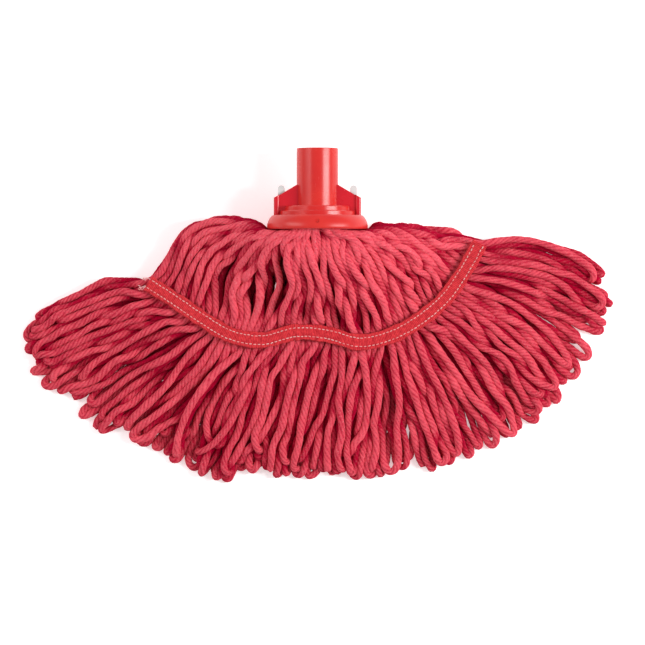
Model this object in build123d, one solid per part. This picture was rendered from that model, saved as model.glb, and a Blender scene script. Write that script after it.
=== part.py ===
from build123d import *

import math
import os

# A socket mop head lying on its back. Millimetres. +Z is up from the surface that it lies on,
# +Y is the pole's axis, leaving the socket's mouth, and +X runs across the fan of yarn.
# The origin is at the bottom centre of the whole part.

# Driving dimensions: the socket
TUBE_RADIUS = 14.5
BORE_RADIUS = 12.5
BORE_CHAMFER = 0.8
TUBE_ABOVE_RING = 46.9
BORE_FLOOR_ABOVE_RING = 7.5
STEP_HEIGHT = 3.25
UPPER_STEP_RADIUS = 23.15
LOWER_STEP_RADIUS = 26.7
FLANGE_RADIUS = 30.6
FLANGE_THICKNESS = 3.5
SKIRT_RADIUS = 27.0
CUP_RADIUS = 24.0
FOLD_ROOM_RADIUS = 19.5
FOLD_ROOM_ABOVE_RING = 4.0
EDGE_ROUNDING = 0.7

# The guards beside the tube
GUARD_REACH = 30.4
GUARD_HEIGHT_OUTSIDE = 12.1
GUARD_HEIGHT_AT_TUBE = 21.2
GUARD_WEB_THICKNESS = 2.0
POST_WIDTH = 3.9
POST_STANDS_PROUD = 1.5
POST_WALL = 2.5

# The clamp ring
RING_RADIUS = 35.2
RING_TOP_RADIUS = 31.6
RING_HEIGHT = 9.9
RING_WIDEST_SHARE = 0.8
RING_EDGE = 1.5
GATE_RADIUS = 1.4
GATE_DEPTH = 0.5
GATE_BELOW_TOP = 4.5

# The yarn bar and its two snap arms
ARM_THICKNESS = 3.0
ARM_WIDTH = 7.0
ARM_TIP_ABOVE_RING = 20.9
HEAD_THICKNESS = 4.8
HEAD_RADIUS = 2.35
ARM_TRAVEL_DEG = 7.0
BAR_HEIGHT = 4.5
BAR_ROUNDING = 1.2
BAR_BELOW_RING_TOP = 3.7

# The yarn. Each half is a fan from the ring's mouth to the tape and on to the loops' ends
YARN_SPREAD = 406.0
YARN_DROP = 173.2
YARN_ROOT_RADIUS = 23.4
ROOT_HALF_WIDTH = 22.4
ROOT_LEAST_HEIGHT = 6.0
BACK_THICKNESS_AT_TAPE = 8.5
FRONT_THICKNESS_AT_TAPE = 9.6
BACK_THICKNESS_AT_ENDS = 6.0
FRONT_THICKNESS_AT_ENDS = 8.0
TAPE_WIDTH = 11.4
TAPE_THICKNESS = 1.2
STITCH_ROW_SPACING = 6.0
STITCH_WIDTH = 0.9
STITCH_HEIGHT = 0.5

# Where each dividing line of the fan crosses the tape and where it ends, as shares of half the
# spread and of the drop. The yarn lies further up on the right than on the left.
FAN_LINES = [
    ((-0.584, 0.215), (-1.000, 0.405)),
    ((-0.478, 0.296), (-0.926, 0.613)),
    ((-0.350, 0.400), (-0.729, 0.752)),
    ((-0.197, 0.449), (-0.394, 0.948)),
    ((-0.020, 0.400), (-0.069, 1.000)),
    ((0.167, 0.463), (0.256, 0.977)),
    ((0.325, 0.405), (0.621, 0.844)),
    ((0.453, 0.261), (1.000, 0.336)),
    ((0.561, 0.054), (0.887, 0.117)),
]

# Clearances
SEAT_GAP = 0.15
RING_TOP_GAP = 0.1
ARM_GAP = 0.3
YARN_GAP = 0.6
HALVES_GAP = 0.5
ROOT_HALVES_GAP = 4.0
SECTOR_GAP = 0.5
TAPE_GAP = 1.0
THREAD_GAP = 0.15
TABLE_GAP = 0.3

# Worked out from the above
AXIS_Z = RING_RADIUS
TOTAL_LENGTH = TUBE_ABOVE_RING + RING_HEIGHT + YARN_DROP
RING_MOUTH_Y = YARN_DROP - TOTAL_LENGTH / 2
RING_TOP_Y = RING_MOUTH_Y + RING_HEIGHT
TUBE_MOUTH_Y = RING_TOP_Y + TUBE_ABOVE_RING
STEPS_TOP_Y = RING_TOP_Y + 2 * STEP_HEIGHT
FLANGE_BOTTOM_Y = RING_TOP_Y - FLANGE_THICKNESS
YARN_ROOT_Y = RING_MOUTH_Y - YARN_GAP

ARM_HALF_WIDTH = ARM_WIDTH / 2
POCKET_HALF_WIDTH = ARM_HALF_WIDTH + ARM_GAP
WEB_OUTER_Z = POCKET_HALF_WIDTH + GUARD_WEB_THICKNESS
POST_HALF_WIDTH = WEB_OUTER_Z + POST_STANDS_PROUD
POCKET_OUTER_X = GUARD_REACH - POST_WALL
HEAD_OUTER_X = POCKET_OUTER_X - ARM_GAP
HEAD_INNER_X = HEAD_OUTER_X - HEAD_THICKNESS
ARM_OUTER_X = HEAD_INNER_X + ARM_THICKNESS
ARM_ROOT_RADIUS = ARM_THICKNESS / 2
ARM_PIVOT_X = HEAD_INNER_X + ARM_ROOT_RADIUS
BAR_TOP_Y = RING_TOP_Y - BAR_BELOW_RING_TOP
ARM_PIVOT_Y = BAR_TOP_Y - BAR_HEIGHT / 2
BAR_HALF_LENGTH = HEAD_INNER_X - ARM_GAP
SLOT_OUTER_X = ARM_OUTER_X + ARM_GAP
ARM_SWING = math.sin(math.radians(ARM_TRAVEL_DEG)) * (STEPS_TOP_Y - ARM_PIVOT_Y)
SLOT_INNER_X = HEAD_INNER_X - ARM_SWING - ARM_GAP

FOLD_HALF_LENGTH = SLOT_INNER_X - 2 * YARN_GAP
FOLD_HALF_DEPTH = FOLD_ROOM_RADIUS - 2 * YARN_GAP

BACK_BOTTOM_AT_TAPE = TABLE_GAP + STITCH_HEIGHT + THREAD_GAP + TAPE_THICKNESS + TAPE_GAP
FRONT_TOP_AT_TAPE = BACK_BOTTOM_AT_TAPE + BACK_THICKNESS_AT_TAPE + HALVES_GAP + FRONT_THICKNESS_AT_TAPE
FRONT_TOP_AT_ENDS = BACK_THICKNESS_AT_ENDS + HALVES_GAP + FRONT_THICKNESS_AT_ENDS


def save(solid, name):
    """Writes one node, named as the file is."""
    solid.label = name
    export_step(solid, f"parts/{name}.step")
    print(f"{name}: volume {solid.volume:.0f} mm3")


def turned(outline):
    """A solid of revolution about the socket's axis, from an outline of (radius, y) points."""
    profile = make_face(Polyline(*outline, close=True))
    return Pos(0, 0, AXIS_Z) * revolve(profile, Axis.Y)


def block(x_low, x_high, y_low, y_high, half_width):
    """A box centred on the socket's axis in Z."""
    size = (x_high - x_low, y_high - y_low, 2 * half_width)
    return Pos((x_low + x_high) / 2, (y_low + y_high) / 2, AXIS_Z) * Box(*size)


def plate(outline, half_width):
    """An outline in XY made into a plate centred on the socket's axis in Z."""
    face = Pos(0, 0, AXIS_Z) * make_face(Polyline(*outline, close=True))
    return extrude(face, half_width, both=True)


def mirrored(solid):
    """The same piece on the other side of the socket."""
    return mirror(solid, Plane.YZ)


# The socket body


def socket_shell():
    """The tube, its two steps, the base flange and the skirt, hollow from both ends."""
    return turned(
        [
            (0, RING_MOUTH_Y + RING_TOP_GAP),
            (SKIRT_RADIUS, RING_MOUTH_Y + RING_TOP_GAP),
            (SKIRT_RADIUS, FLANGE_BOTTOM_Y),
            (FLANGE_RADIUS, FLANGE_BOTTOM_Y),
            (FLANGE_RADIUS, RING_TOP_Y),
            (LOWER_STEP_RADIUS, RING_TOP_Y),
            (LOWER_STEP_RADIUS, RING_TOP_Y + STEP_HEIGHT - EDGE_ROUNDING),
            (LOWER_STEP_RADIUS - EDGE_ROUNDING, RING_TOP_Y + STEP_HEIGHT),
            (UPPER_STEP_RADIUS, RING_TOP_Y + STEP_HEIGHT),
            (UPPER_STEP_RADIUS, STEPS_TOP_Y - EDGE_ROUNDING),
            (UPPER_STEP_RADIUS - EDGE_ROUNDING, STEPS_TOP_Y),
            (TUBE_RADIUS, STEPS_TOP_Y),
            (TUBE_RADIUS, TUBE_MOUTH_Y - EDGE_ROUNDING / 2),
            (TUBE_RADIUS - EDGE_ROUNDING / 2, TUBE_MOUTH_Y),
            (0, TUBE_MOUTH_Y),
        ]
    )


def guard():
    """One guard: two webs with a rounded post at their outer edge, and the arm's pocket between."""
    slope = (GUARD_HEIGHT_AT_TUBE - GUARD_HEIGHT_OUTSIDE) / (GUARD_REACH - TUBE_RADIUS)
    inner_x = TUBE_RADIUS - GUARD_WEB_THICKNESS
    post_x = GUARD_REACH - POST_WIDTH
    post_top = GUARD_HEIGHT_OUTSIDE + slope * POST_WIDTH
    webs = plate(
        [
            (inner_x, RING_TOP_Y),
            (GUARD_REACH - EDGE_ROUNDING, RING_TOP_Y),
            (GUARD_REACH - EDGE_ROUNDING, RING_TOP_Y + GUARD_HEIGHT_OUTSIDE),
            (TUBE_RADIUS, RING_TOP_Y + GUARD_HEIGHT_AT_TUBE),
            (inner_x, RING_TOP_Y + GUARD_HEIGHT_AT_TUBE),
        ],
        WEB_OUTER_Z,
    )
    post = plate(
        [
            (post_x, RING_TOP_Y),
            (GUARD_REACH, RING_TOP_Y),
            (GUARD_REACH, RING_TOP_Y + GUARD_HEIGHT_OUTSIDE),
            (post_x, RING_TOP_Y + post_top),
        ],
        POST_HALF_WIDTH,
    )
    upright = post.edges().filter_by(Axis.Y)
    post = fillet(upright, min(POST_STANDS_PROUD, POST_WIDTH / 2) * 0.95)
    return webs + post


def guard_pocket():
    """The room inside one guard that the snap arm's head stands in, open at the top."""
    return block(
        TUBE_RADIUS + ARM_GAP,
        POCKET_OUTER_X,
        STEPS_TOP_Y,
        RING_TOP_Y + GUARD_HEIGHT_AT_TUBE + 1,
        POCKET_HALF_WIDTH,
    )


def arm_slot():
    """The slot through the flange and the steps that one snap arm passes through."""
    return block(
        SLOT_INNER_X,
        SLOT_OUTER_X,
        RING_MOUTH_Y - 1,
        STEPS_TOP_Y + 1,
        POCKET_HALF_WIDTH,
    )


def socket_body():
    """The moulding's core: tube, steps, flange and skirt, with the bore, the fold's room and slots."""
    body = socket_shell()
    floor_y = RING_TOP_Y + BORE_FLOOR_ABOVE_RING
    bore = turned(
        [
            (0, floor_y),
            (BORE_RADIUS, floor_y),
            (BORE_RADIUS, TUBE_MOUTH_Y - BORE_CHAMFER),
            (BORE_RADIUS + BORE_CHAMFER, TUBE_MOUTH_Y),
            (BORE_RADIUS + BORE_CHAMFER, TUBE_MOUTH_Y + 1),
            (0, TUBE_MOUTH_Y + 1),
        ]
    )
    fold_room_top = RING_TOP_Y + FOLD_ROOM_ABOVE_RING
    fold_room = turned(
        [
            (0, RING_MOUTH_Y - 1),
            (CUP_RADIUS, RING_MOUTH_Y - 1),
            (CUP_RADIUS, FLANGE_BOTTOM_Y),
            (FOLD_ROOM_RADIUS, FLANGE_BOTTOM_Y),
            (FOLD_ROOM_RADIUS, fold_room_top),
            (0, fold_room_top),
        ]
    )
    slot = arm_slot()
    return body - slot - mirrored(slot) - bore - fold_room


def guard_beside_tube():
    """One guard where it stands proud of the core, with the arm's pocket cut through it."""
    return guard() - guard_pocket() - arm_slot() - socket_shell()


def clamp_ring():
    """The domed collar round the flange and the skirt, with its moulding gate mark in front."""
    mouth, top = RING_MOUTH_Y, RING_TOP_Y - RING_TOP_GAP
    seat_y = FLANGE_BOTTOM_Y - SEAT_GAP
    widest_y = RING_TOP_Y - RING_WIDEST_SHARE * RING_HEIGHT
    foot_y = mouth + RING_EDGE
    dome = TangentArc((RING_RADIUS, widest_y), (RING_TOP_RADIUS, top), tangent=(0, 1))
    side = Line((RING_RADIUS, widest_y), (RING_RADIUS, foot_y))
    foot = TangentArc((RING_RADIUS, foot_y), (RING_RADIUS - RING_EDGE, mouth), tangent=(0, -1))
    rest = Polyline(
        foot @ 1,
        (SKIRT_RADIUS + SEAT_GAP, mouth),
        (SKIRT_RADIUS + SEAT_GAP, seat_y),
        (FLANGE_RADIUS + SEAT_GAP, seat_y),
        (FLANGE_RADIUS + SEAT_GAP, top),
        dome @ 1,
    )
    profile = make_face(Curve() + [dome, side, foot, rest])
    ring = Pos(0, 0, AXIS_Z) * revolve(profile, Axis.Y)
    gate_y = RING_TOP_Y - GATE_BELOW_TOP
    surface = RING_TOP_RADIUS + 0.75 * (RING_RADIUS - RING_TOP_RADIUS)
    gate_z = AXIS_Z + surface - GATE_DEPTH
    dimple = Pos(0, gate_y, gate_z + 2) * Cylinder(GATE_RADIUS, 4)
    nub = Pos(0, gate_y, gate_z) * Cylinder(GATE_RADIUS / 2, GATE_DEPTH)
    return ring - dimple + nub


# The yarn bar and its arms


def yarn_bar():
    """The bar that the hank is folded over."""
    bar = block(-BAR_HALF_LENGTH, BAR_HALF_LENGTH, BAR_TOP_Y - BAR_HEIGHT, BAR_TOP_Y, ARM_HALF_WIDTH)
    return fillet(bar.edges().filter_by(Axis.X), BAR_ROUNDING)


def snap_arm():
    """The right snap arm: a springy stem and a round-tipped head whose barb sits over the steps."""
    tip_y = RING_TOP_Y + ARM_TIP_ABOVE_RING
    barb_y = STEPS_TOP_Y + ARM_GAP
    stem = block(HEAD_INNER_X, ARM_OUTER_X, ARM_PIVOT_Y, barb_y + 1, ARM_HALF_WIDTH)
    root = Pos(ARM_PIVOT_X, ARM_PIVOT_Y, AXIS_Z) * Cylinder(ARM_ROOT_RADIUS, ARM_WIDTH)
    head = block(HEAD_INNER_X, HEAD_OUTER_X, barb_y, tip_y, ARM_HALF_WIDTH)
    crown = head.edges().filter_by(Axis.Z).group_by(Axis.Y)[-1]
    head = fillet(crown, HEAD_RADIUS)
    return stem + root + head


def hank_fold():
    """The hank's middle, folded over the bar and filling the room above it."""
    low_y = RING_MOUTH_Y + YARN_GAP / 2
    high_y = RING_TOP_Y + FOLD_ROOM_ABOVE_RING - YARN_GAP / 2
    bulk = block(-FOLD_HALF_LENGTH, FOLD_HALF_LENGTH, low_y, high_y, FOLD_HALF_DEPTH)
    bulk = fillet(bulk.edges().filter_by(Axis.X).group_by(Axis.Y)[-1], BAR_HEIGHT)
    limit = turned([(0, low_y), (FOLD_HALF_DEPTH, low_y), (FOLD_HALF_DEPTH, high_y), (0, high_y)])
    way_through = block(
        -FOLD_HALF_LENGTH - 1,
        FOLD_HALF_LENGTH + 1,
        low_y - 1,
        BAR_TOP_Y + YARN_GAP / 2,
        ARM_HALF_WIDTH + YARN_GAP / 2,
    )
    return bulk & limit - way_through


# The yarn halves


def fan_point(share):
    """A point of the fan in plan, from shares of half the spread and of the drop."""
    return Vector(share[0] * YARN_SPREAD / 2, RING_MOUTH_Y - share[1] * YARN_DROP, 0)


def root_height(x):
    """How far the round root of the yarn reaches from the axis at a place across the mouth."""
    return max(ROOT_LEAST_HEIGHT, math.sqrt(YARN_ROOT_RADIUS**2 - x**2))


def fan_line(k, front):
    """One dividing line: its root, tape crossing and end, each as (point, bottom z, top z)."""
    x = ROOT_HALF_WIDTH * (2 * k / (len(FAN_LINES) - 1) - 1)
    tape, end = (fan_point(share) for share in FAN_LINES[k])
    reach = root_height(x)
    half_gap = ROOT_HALVES_GAP / 2
    if front:
        root_z = (AXIS_Z + half_gap, AXIS_Z + reach)
        tape_z = (FRONT_TOP_AT_TAPE - FRONT_THICKNESS_AT_TAPE, FRONT_TOP_AT_TAPE)
        end_z = (BACK_THICKNESS_AT_ENDS + HALVES_GAP, FRONT_TOP_AT_ENDS)
    else:
        root_z = (AXIS_Z - reach, AXIS_Z - half_gap)
        tape_z = (BACK_BOTTOM_AT_TAPE, BACK_BOTTOM_AT_TAPE + BACK_THICKNESS_AT_TAPE)
        end_z = (0, BACK_THICKNESS_AT_ENDS)
    return [(Vector(x, YARN_ROOT_Y, 0), *root_z), (tape, *tape_z), (end, *end_z)]


def joined(sections):
    """A closed solid through a row of four-cornered sections, corner to corner, in flat triangles.
    Its upper and lower sides are split along the same diagonal, so that stacked solids nest."""
    outlines = [sections[0], sections[-1]]
    for near, far in zip(sections, sections[1:]):
        for i, j in ((0, 1), (1, 2), (3, 2), (0, 3)):
            outlines += [[near[i], near[j], far[j]], [near[i], far[j], far[i]]]
    faces = [Face(Wire.make_polygon(outline, close=True)) for outline in outlines]
    return Solid(Shell(faces))


def station(left, right):
    """The upright four-cornered section between two dividing lines, set in by the sector gap."""
    (p, p_low, p_high), (q, q_low, q_high) = left, right
    inset = (q - p).normalized() * (SECTOR_GAP / 2)
    p, q = p + inset, q - inset
    return [(p.X, p.Y, p_low), (q.X, q.Y, q_low), (q.X, q.Y, q_high), (p.X, p.Y, p_high)]


def short_of(near, far, gap):
    """A dividing line's station moved from near towards far by a gap."""
    share = gap / (far[0] - near[0]).length
    return (
        near[0] + (far[0] - near[0]) * share,
        near[1] + (far[1] - near[1]) * share,
        near[2] + (far[2] - near[2]) * share,
    )


def sector(k, front):
    """One sector's two solids: the strands from ring to tape, and the loops beyond the tape."""
    left, right = fan_line(k, front), fan_line(k + 1, front)
    after = [short_of(line[1], line[2], SECTOR_GAP) for line in (left, right)]
    strands = joined([station(left[0], right[0]), station(left[1], right[1])])
    loops = joined([station(*after), station(left[2], right[2])])
    return strands, loops


def tape_edges(k, front):
    """The two edges of the tape where it crosses a dividing line: points on the yarn's surface."""
    root, tape, end = fan_line(k, front)
    edges = []
    for far in (root, end):
        point, low, high = short_of(tape, far, TAPE_WIDTH / 2)
        edges.append(Vector(point.X, point.Y, high if front else low))
    return edges


def band(middle, width, lift, thickness, front):
    """A flat band along the tape: its middle's place across the tape, and its lift off the yarn."""
    low, high = (lift, lift + thickness) if front else (-lift - thickness, -lift)
    low, high = Vector(0, 0, low), Vector(0, 0, high)
    sections = []
    for k in range(len(FAN_LINES)):
        inner, outer = tape_edges(k, front)
        p, q = (
            inner + (outer - inner) * (0.5 + across / TAPE_WIDTH)
            for across in (middle - width / 2, middle + width / 2)
        )
        sections.append([p + low, q + low, q + high, p + high])
    return joined(sections)


def stitching(front):
    """The two rows of stitches on one tape."""
    half = STITCH_ROW_SPACING / 2
    lift = TAPE_GAP + TAPE_THICKNESS + THREAD_GAP
    rows = [band(side * half, STITCH_WIDTH, lift, STITCH_HEIGHT, front) for side in (-1, 1)]
    return Compound(rows)


os.makedirs("parts", exist_ok=True)

save(socket_body(), "socket_body")
save(guard_beside_tube(), "right_guard")
save(mirrored(guard_beside_tube()), "left_guard")
save(clamp_ring(), "clamp_ring")
save(yarn_bar(), "yarn_bar")
save(snap_arm(), "snap_arm_right")
save(mirrored(snap_arm()), "snap_arm_left")
save(hank_fold(), "hank_fold")

for half_name, is_front in (("front", True), ("back", False)):
    for number in range(len(FAN_LINES) - 1):
        strand_solid, loop_solid = sector(number, is_front)
        save(strand_solid, f"{half_name}_strands_{number + 1}")
        save(loop_solid, f"{half_name}_loops_{number + 1}")
    save(band(0, TAPE_WIDTH, TAPE_GAP, TAPE_THICKNESS, is_front), f"{half_name}_tape")
    save(stitching(is_front), f"{half_name}_stitching")
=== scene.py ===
# %% [markdown]
# # A string mop head, laid out on a table
#
# The head is a moulded red socket with a clamp ring, and a big fan of looped, twisted yarn in two
# halves. Each half is sewn across with a tape, and two white snap arms hold everything together.
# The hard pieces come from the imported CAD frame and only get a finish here. Everything soft is made
# here: the yarn, the tapes, their stitches and the fold of yarn inside the socket.

# %% Load the frame
import math
from collections import namedtuple

import bpy
import numpy as np
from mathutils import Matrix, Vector


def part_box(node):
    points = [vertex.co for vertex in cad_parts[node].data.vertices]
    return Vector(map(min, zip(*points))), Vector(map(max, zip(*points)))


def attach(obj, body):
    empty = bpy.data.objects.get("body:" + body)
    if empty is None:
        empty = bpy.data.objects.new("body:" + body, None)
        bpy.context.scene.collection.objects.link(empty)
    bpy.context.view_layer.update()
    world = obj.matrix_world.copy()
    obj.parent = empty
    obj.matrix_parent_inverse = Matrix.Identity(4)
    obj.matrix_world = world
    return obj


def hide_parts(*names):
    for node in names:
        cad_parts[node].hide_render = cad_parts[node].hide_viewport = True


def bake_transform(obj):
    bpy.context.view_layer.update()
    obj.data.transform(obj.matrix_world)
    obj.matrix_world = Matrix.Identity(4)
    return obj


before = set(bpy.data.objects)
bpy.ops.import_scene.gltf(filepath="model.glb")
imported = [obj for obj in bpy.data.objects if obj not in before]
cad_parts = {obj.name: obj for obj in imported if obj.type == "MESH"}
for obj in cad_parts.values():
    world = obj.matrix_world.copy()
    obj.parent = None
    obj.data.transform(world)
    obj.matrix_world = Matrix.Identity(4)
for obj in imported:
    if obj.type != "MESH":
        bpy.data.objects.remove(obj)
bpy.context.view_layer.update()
MM = 0.001
ring_low, ring_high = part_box("clamp_ring")
MOUTH_Y = ring_low[1]
AXIS_Z = (ring_low[2] + ring_high[2]) / 2
RING_RADIUS = (ring_high[0] - ring_low[0]) / 2
print("mouth of the ring at y", round(MOUTH_Y / MM, 2), "mm")
print("axis at z", round(AXIS_Z / MM, 2), "mm")

# %% [markdown]
# ## Camera, light and table
#
# The head is seen from straight above, from far away with a long lens, so that it shows hardly any
# perspective. Depth of field stays off. Studio light for a fuzzy red thing has to be soft, with one
# side a little stronger: that side light rakes over the plies of the yarn and makes them readable.
# Two strip lights, one at each side, and a bright world do that. A pale table fills the shadows.

# %% Camera
CAMERA_HEIGHT = 3.0
CAMERA_X = 3.57 * MM
CAMERA_Y = -6.7 * MM
LENS_MM = 237
SENSOR_MM = 36
NEAREST_SEEN = 0.01

scene = bpy.context.scene
camera = bpy.data.objects.new("camera", bpy.data.cameras.new("camera"))
camera.location = (CAMERA_X, CAMERA_Y, CAMERA_HEIGHT)
camera.data.lens = LENS_MM
camera.data.sensor_width = SENSOR_MM
camera.data.clip_start = NEAREST_SEEN
camera.data.dof.use_dof = False
scene.collection.objects.link(camera)
scene.camera = camera
scene.view_settings.view_transform = "Standard"
print("camera", CAMERA_HEIGHT, "m above the table")


# %% Lights
AIM = Vector((0, 0, 0.02))
WORLD_STRENGTH = 0.47


def softbox(name, place, width, length, power):
    """A strip of area light that points at the middle of the head."""
    lamp = bpy.data.objects.new(name, bpy.data.lights.new(name, "AREA"))
    lamp.data.shape = "RECTANGLE"
    lamp.data.size = width
    lamp.data.size_y = length
    lamp.data.energy = power
    lamp.location = place
    lamp.rotation_euler = (AIM - lamp.location).to_track_quat("-Z", "Y").to_euler()
    scene.collection.objects.link(lamp)


softbox("key_softbox", place=(1.25, 0.12, 1.08), width=0.18, length=1.0, power=21)
softbox("fill_softbox", place=(-1.2, 0.38, 0.88), width=0.28, length=1.0, power=8)
world = bpy.data.worlds.new("studio")
scene.world = world
world.use_nodes = True
background = world.node_tree.nodes["Background"]
background.inputs["Color"].default_value = (1, 1, 1, 1)
background.inputs["Strength"].default_value = WORLD_STRENGTH

# %% [markdown]
# ## Writing materials as expressions
#
# A procedural finish is a small sum: noise, masks and colours that are mixed. Wiring each node by
# hand hides that sum, so a thin wrapper turns a socket into something that can be added, scaled and
# compared like a number. Numbers go through Math nodes, and colours and vectors through Mix and
# Vector Math nodes. Any other node comes from one method that takes its type, settings and sockets.


# %% Sockets as numbers
class Wire:
    """One output socket, with arithmetic that adds Math nodes."""

    def __init__(self, tree, socket):
        self.tree = tree
        self.socket = socket

    def node(self, kind, settings=None, output=0, **sockets):
        """Add a node: its settings first, then the values or links of its sockets."""
        made = self.tree.nodes.new(kind)
        for name, value in (settings or {}).items():
            setattr(made, name, value)
        for name, value in sockets.items():
            numbered = name[0] == "i" and name[1:].isdigit()
            place = made.inputs[int(name[1:]) if numbered else name.replace("_", " ")]
            if isinstance(value, Wire):
                self.tree.links.new(value.socket, place)
            else:
                place.default_value = value
        return Wire(self.tree, made.outputs[output])

    def math(self, operation, other=0.0, first=None):
        """A Math node on this socket and another value, or on a first value given instead."""
        a = self if first is None else first
        return self.node("ShaderNodeMath", {"operation": operation}, i0=a, i1=other)

    def __add__(self, other):
        return self.math("ADD", other)

    def __sub__(self, other):
        return self.math("SUBTRACT", other)

    def __rsub__(self, other):
        return self.math("SUBTRACT", self, first=other)

    def __mul__(self, other):
        return self.math("MULTIPLY", other)

    __radd__ = __add__
    __rmul__ = __mul__

    def __pow__(self, other):
        return self.math("POWER", other)

    def between(self, low, high):
        """0 below low, 1 above high and smooth in between."""
        settings = {"interpolation_type": "SMOOTHSTEP"}
        return self.node("ShaderNodeMapRange", settings, Value=self, From_Min=low, From_Max=high)

    def blend(self, colour_a, colour_b):
        """This mask's mix of two colours."""
        colours = {"i6": colour_a, "i7": colour_b}
        return self.node("ShaderNodeMix", {"data_type": "RGBA"}, output=2, i0=self, **colours)

    def stretched(self, by):
        """This vector with each of its axes scaled."""
        return self.node("ShaderNodeVectorMath", {"operation": "MULTIPLY"}, i0=self, i1=by)

    def noise(self, scale, detail=3.0, roughness=0.55):
        """Noise from 0 to 1 at this position."""
        sizes = {"Scale": scale, "Detail": detail, "Roughness": roughness}
        return self.node("ShaderNodeTexNoise", Vector=self, **sizes)

    def attribute(self, name):
        """A value that is kept on the mesh's points."""
        return self.node("ShaderNodeAttribute", {"attribute_name": name}, output=2)


def rgb(red, green, blue):
    """An opaque linear colour."""
    return (red, green, blue, 1.0)


# %% Starting a material
def finish(name, **constants):
    """A new material, its shader with the constants set, and the object's own position."""
    material = bpy.data.materials.new(name)
    material.use_nodes = True
    tree = material.node_tree
    shader = tree.nodes["Principled BSDF"]
    for socket, value in constants.items():
        shader.inputs[socket.replace("_", " ")].default_value = value
    return material, shader, Wire(tree, None).node("ShaderNodeTexCoord", output=3)


def drive(material, shader, **wires):
    """Link what varies over the surface to the shader's sockets."""
    for socket, wire in wires.items():
        material.node_tree.links.new(wire.socket, shader.inputs[socket.replace("_", " ")])
    return material


def bumped(height, distance, strength=1.0):
    """A Bump node for the shader's Normal."""
    return height.node("ShaderNodeBump", Height=height, Distance=distance, Strength=strength)


# %% [markdown]
# Three small helpers serve the meshes made here. One makes a smooth mesh from points in
# millimetres, one keeps values on its points for a finish to read, and one puts it in the scene.


# %% Meshes in the scene
def smooth_mesh(name, points, faces):
    """A smooth-shaded mesh of points in millimetres from the ring's mouth."""
    mesh = bpy.data.meshes.new(name)
    mesh.from_pydata((points * MM + (0, MOUTH_Y, 0)).tolist(), [], faces)
    for polygon in mesh.polygons:
        polygon.use_smooth = True
    return mesh


def keep_values(mesh, **values):
    """Keep named values on a mesh's points, for a finish to read."""
    for name, numbers in values.items():
        kept = mesh.attributes.new(name, "FLOAT", "POINT")
        kept.data.foreach_set("value", numbers.astype(np.float32))


def placed(name, mesh):
    """An object of this mesh in the scene."""
    piece = bpy.data.objects.new(name, mesh)
    scene.collection.objects.link(piece)
    return piece


# %% [markdown]
# ## The table
#
# The head was laid on a white sweep. A single large plane is enough for it. It glows a little, so
# that the yarn's shadows on it stay pale.

# %% Table top
TABLE_REACH = 3
TABLE_GLOW = 0.40
table_mesh = bpy.data.meshes.new("table_top")
corners = [(x * TABLE_REACH, y * TABLE_REACH, 0) for x, y in ((-1, -1), (1, -1), (1, 1), (-1, 1))]
table_mesh.from_pydata(corners, [], [(0, 1, 2, 3)])
table_top = placed("table_top", table_mesh)
paper, paper_shader, at = finish("white_sweep", Roughness=0.9, Emission_Color=rgb(1, 1, 1),
                                 Emission_Strength=TABLE_GLOW)
whites = at.noise(1.5).blend(rgb(0.93, 0.93, 0.93), rgb(0.96, 0.96, 0.96))
drive(paper, paper_shader, Base_Color=whites)
table_mesh.materials.append(paper)

# %% [markdown]
# ## How the yarn runs
#
# A mop like this is wound as one long hank, folded over a bar in the socket, and its loops are left
# uncut. It could be made as one strand of yarn repeated by an array, but then every strand would
# fall alike, and the hand-laid look would be lost. Here each loop is a strand of its own. It leaves
# the ring, passes under the tape, turns round at the fringe and comes back.
#
# Rails across the fan say where the yarn goes: near the ring, half way, at the tape and at the
# loops' ends. A strand at share u of the way from left to right crosses every rail at about u.
# Heights fall from the ring's to the table's. Points are in millimetres from the ring's mouth.

# %% Rails across the fan
NEAR_RAIL = [(-53, 2, 33), (-50, -1, 41), (-42, -10, 49), (-21, -20, 55), (-1, -22, 57),
             (22, -20, 55), (42, -9, 49), (52, -4, 41), (51, -2, 33)]
MID_RAIL = [(-86, 1, 24), (-79, -14, 28), (-55, -36, 31), (-24, -46, 34), (4, -47, 35.5),
            (35, -48, 34), (61, -37, 31), (79, -20, 28), (82, -7.5, 24)]
TAPE_RAIL = [(-118.6, -37.3), (-99, -49.9), (-79.7, -63), (-60, -73.9), (-38.5, -77.2),
             (-15.5, -71.8), (7, -73.2), (29, -78.7), (51, -74.2), (70.7, -63.6),
             (88.7, -48.6), (102.3, -29.7), (113.8, -9.3)]
TIPS_RAIL = [(-195, -65), (-205, -78), (-203, -95), (-184, -117), (-150, -142), (-106, -159),
             (-74, -172), (-42, -172), (-15, -172), (10, -173), (40, -173), (84, -167),
             (124, -154), (158, -131), (180, -103), (205, -60), (198, -31)]


def rail(stations, share):
    """Points on the smooth curve through the stations, at shares from 0, left, to 1, right."""
    p = np.array(stations, float)
    t = np.clip(share, 0, 1) * (len(p) - 1)
    k = np.minimum(t.astype(int), len(p) - 2)
    f = (t - k)[:, None]
    p = np.vstack([2 * p[0] - p[1], p, 2 * p[-1] - p[-2]])
    a, b, c, d = p[k], p[k + 1], p[k + 2], p[k + 3]
    return b + 0.5 * f * (c - a + f * (2 * a - 5 * b + 4 * c - d + f * (3 * (b - c) + d - a)))


def rail_point(stations, share):
    """One point of a rail."""
    return rail(stations, np.array([share]))[0]


def run_along(line):
    """The distance run from a line's first point to each of its points."""
    return np.concatenate([[0], np.cumsum(np.linalg.norm(np.diff(line, axis=0), axis=1))])


tape_length = run_along(rail(TAPE_RAIL, np.linspace(0, 1, 200)))[-1]
print("each tape is", round(tape_length, 1), "mm long")

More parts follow.
